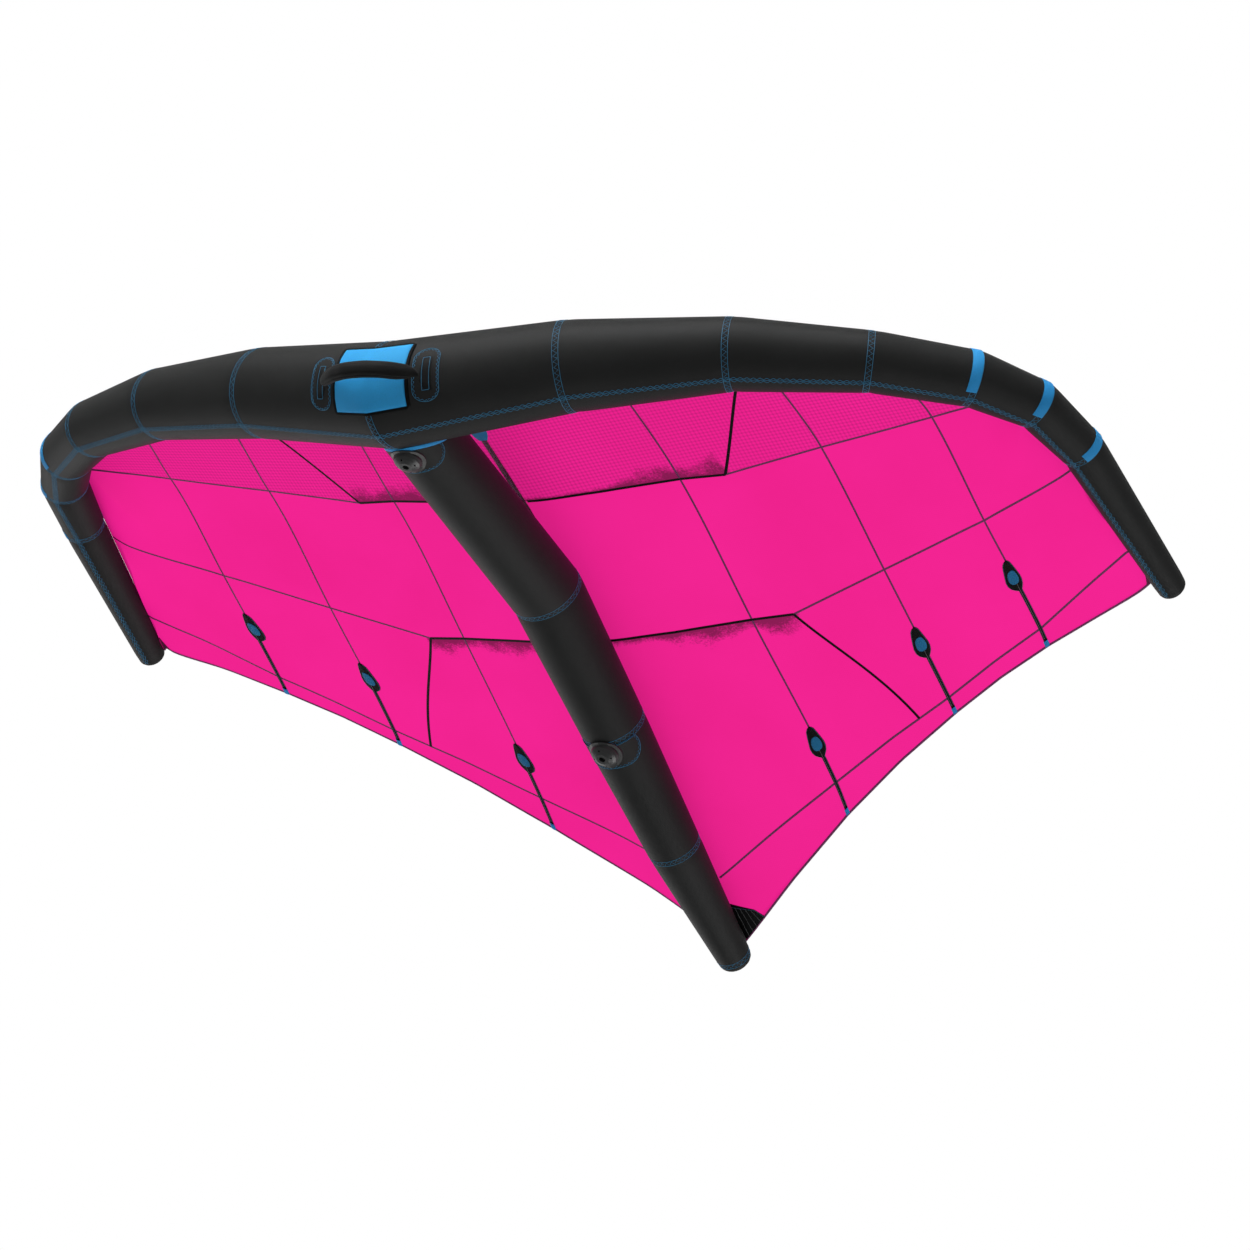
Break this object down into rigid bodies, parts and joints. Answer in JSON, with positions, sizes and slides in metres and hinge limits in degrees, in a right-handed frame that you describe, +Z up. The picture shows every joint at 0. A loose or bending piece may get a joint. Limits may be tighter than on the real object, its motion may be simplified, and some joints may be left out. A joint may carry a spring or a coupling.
{
  "type": "wingfoil wing",
  "caption": "Inflatable hand wing for foil boards: swept black tube with a centre strut, pink canopy, batten sleeves, front grip and moulded handle bases.",
  "frame": {"origin": "centre of the flat floor of the socket in the front handle base, below the strut", "axes": "+X along the span, +Y back towards the trailing edge, +Z up with the rear half of the strut level"},
  "size_m": [2.979, 2.1975, 0.6149],
  "materials": {
    "tube_cloth": "matt woven polyester",
    "blue_tape": "matt insignia cloth",
    "canopy_cloth": "thin ripstop, slightly shiny",
    "pocket_cloth": "matt reinforced cloth",
    "pad_foam": "cloth-faced foam",
    "grip_foam": "matt foam rubber",
    "moulding": "moulded, satin",
    "bladder_film": "clear urethane film",
    "valve_plastic": "moulded, satin"
  },
  "bodies": {
    "wing": {"batten_sleeve_left_1": "pocket_cloth", "batten_sleeve_left_2": "pocket_cloth", "batten_sleeve_left_3": "pocket_cloth", "batten_sleeve_right_1": "pocket_cloth", "batten_sleeve_right_2": "pocket_cloth", "batten_sleeve_right_3": "pocket_cloth", "canopy_front_left": "canopy_cloth", "canopy_front_right": "canopy_cloth", "canopy_middle_left": "canopy_cloth", "canopy_middle_right": "canopy_cloth", "canopy_rear_left": "canopy_cloth", "canopy_rear_right": "canopy_cloth", "canopy_trailing_left": "canopy_cloth", "canopy_trailing_right": "canopy_cloth", "corner_patch_left": "pocket_cloth", "corner_patch_right": "pocket_cloth", "edge_bladder": "bladder_film", "edge_cap_left": "tube_cloth", "edge_cap_right": "tube_cloth", "edge_panel_left_1": "tube_cloth", "edge_panel_left_2": "tube_cloth", "edge_panel_left_3": "tube_cloth", "edge_panel_left_4": "tube_cloth", "edge_panel_left_5": "tube_cloth", "edge_panel_left_6": "tube_cloth", "edge_panel_left_7": "tube_cloth", "edge_panel_right_1": "tube_cloth", "edge_panel_right_2": "tube_cloth", "edge_panel_right_3": "tube_cloth", "edge_panel_right_4": "tube_cloth", "edge_panel_right_5": "tube_cloth", "edge_panel_right_6": "tube_cloth", "edge_panel_right_7": "tube_cloth", "front_base_patch": "pocket_cloth", "front_handle_base": "moulding", "grip_patch_left": "pocket_cloth", "grip_patch_right": "pocket_cloth", "knuckle_pad": "pad_foam", "middle_tab": "blue_tape", "rear_base_patch": "pocket_cloth", "rear_handle_base": "moulding", "seam_band_left_4": "blue_tape", "seam_band_left_5": "blue_tape", "seam_band_left_6": "blue_tape", "seam_band_right_4": "blue_tape", "seam_band_right_5": "blue_tape", "seam_band_right_6": "blue_tape", "strut_bladder": "bladder_film", "strut_collar": "blue_tape", "strut_end_cap": "tube_cloth", "strut_panel_1": "tube_cloth", "strut_panel_2": "tube_cloth", "strut_panel_3": "tube_cloth", "strut_panel_4": "tube_cloth", "valve_base": "valve_plastic"},
    "grip": {"front_grip": "grip_foam"},
    "plug": {"valve_plug": "valve_plastic"}
  },
  "joints": [
    {"name": "grip_swing", "type": "hinge", "parent": "wing", "child": "grip", "pos_m": [0, -0.2415, 0.02707], "axis": [1, 0, 0], "range_deg": [-50, 50]},
    {"name": "plug_twist", "type": "hinge", "parent": "wing", "child": "plug", "pos_m": [-0.18316, -0.0197, 0.16132], "axis": [0.1515, 0.9366, 0.3161], "range_deg": [0, 90]}
  ]
}
